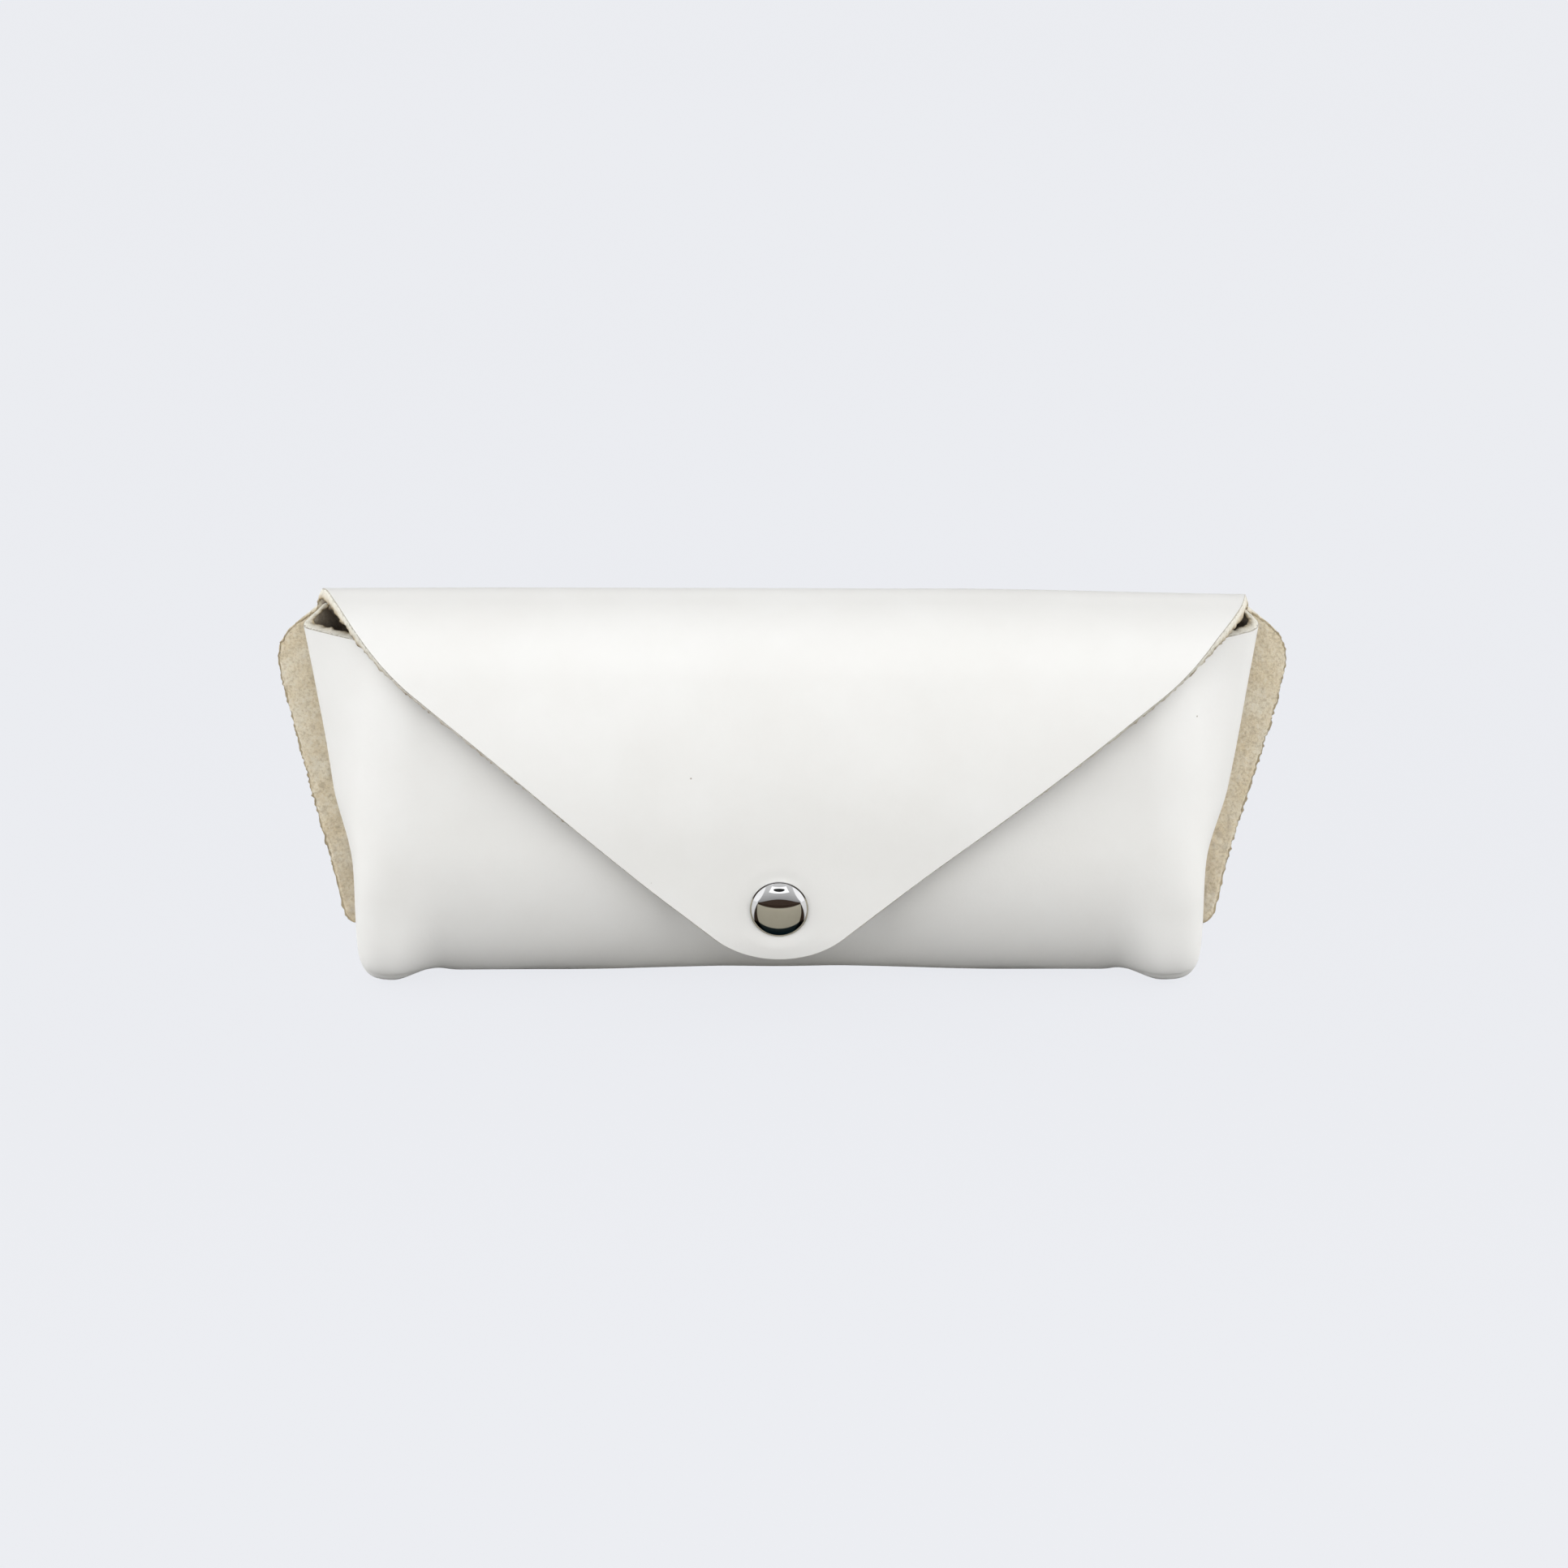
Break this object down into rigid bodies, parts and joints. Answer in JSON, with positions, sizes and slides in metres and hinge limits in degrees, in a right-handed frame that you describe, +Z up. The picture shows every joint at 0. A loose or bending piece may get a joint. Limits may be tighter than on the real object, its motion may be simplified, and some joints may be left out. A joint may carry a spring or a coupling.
{
  "type": "soft glasses case",
  "caption": "Soft moulded leather pouch for glasses, with a wide pointed flap that folds over the front and closes with a domed ring snap.",
  "frame": {"origin": "middle of the case's width and depth, on the ground under the two moulded feet", "axes": "+X to the right seen from the front, along the case's width; +Y to the back; +Z up; the flap closes on the front, which faces -Y"},
  "size_m": [0.1748, 0.0342, 0.0685],
  "materials": {
    "leather": "smooth off-white grain, tan suede flesh side",
    "snap_metal": "polished",
    "rivet_metal": "polished"
  },
  "bodies": {
    "pouch": {"back_panel": "leather", "bottom_wrap": "leather", "left_ear": "leather", "right_ear": "leather", "ear_rivet_caps": "rivet_metal", "ear_rivet_posts": "rivet_metal"},
    "front": {"front_panel": "leather", "snap_stud": "snap_metal", "snap_post": "snap_metal"},
    "strip_1": {"fold_strip_1": "leather"},
    "strip_2": {"fold_strip_2": "leather"},
    "strip_3": {"fold_strip_3": "leather"},
    "strip_4": {"fold_strip_4": "leather"},
    "strip_5": {"fold_strip_5": "leather"},
    "strip_6": {"fold_strip_6": "leather"},
    "flap": {"flap_panel": "leather", "snap_cap": "snap_metal", "snap_socket": "snap_metal", "snap_spring": "snap_metal"}
  },
  "joints": [
    {"name": "flap_fold_1", "type": "hinge", "parent": "pouch", "child": "strip_1", "pos_m": [0, 0.01586, 0.06066], "axis": [-1, 0, 0], "range_deg": [0, 25]},
    {"name": "flap_fold_2", "type": "hinge", "parent": "strip_1", "child": "strip_2", "pos_m": [0, 0.01403, 0.06459], "axis": [-1, 0, 0], "range_deg": [0, 25]},
    {"name": "flap_fold_3", "type": "hinge", "parent": "strip_2", "child": "strip_3", "pos_m": [0, 0.01071, 0.06737], "axis": [-1, 0, 0], "range_deg": [0, 25]},
    {"name": "flap_fold_4", "type": "hinge", "parent": "strip_3", "child": "strip_4", "pos_m": [0, 0.00653, 0.06849], "axis": [-1, 0, 0], "range_deg": [0, 25]},
    {"name": "flap_fold_5", "type": "hinge", "parent": "strip_4", "child": "strip_5", "pos_m": [0, -0.00112, 0.06715], "axis": [-1, 0, 0], "range_deg": [0, 25]},
    {"name": "flap_fold_6", "type": "hinge", "parent": "strip_5", "child": "strip_6", "pos_m": [0, -0.00563, 0.06455], "axis": [-1, 0, 0], "range_deg": [0, 25]},
    {"name": "flap_fold_7", "type": "hinge", "parent": "strip_6", "child": "flap", "pos_m": [0, -0.00898, 0.06055], "axis": [-1, 0, 0], "range_deg": [0, 25]},
    {"name": "front_spread", "type": "hinge", "parent": "pouch", "child": "front", "pos_m": [0, -0.00975, 0.0135], "axis": [1, 0, 0], "range_deg": [0, 8]}
  ],
  "couplings": [
    {"joint": "flap_fold_2", "follows": "flap_fold_1", "ratio": 1},
    {"joint": "flap_fold_3", "follows": "flap_fold_1", "ratio": 1},
    {"joint": "flap_fold_4", "follows": "flap_fold_1", "ratio": 1},
    {"joint": "flap_fold_5", "follows": "flap_fold_1", "ratio": 1},
    {"joint": "flap_fold_6", "follows": "flap_fold_1", "ratio": 1},
    {"joint": "flap_fold_7", "follows": "flap_fold_1", "ratio": 1},
    {"joint": "front_spread", "follows": "flap_fold_1", "ratio": 0.32}
  ]
}
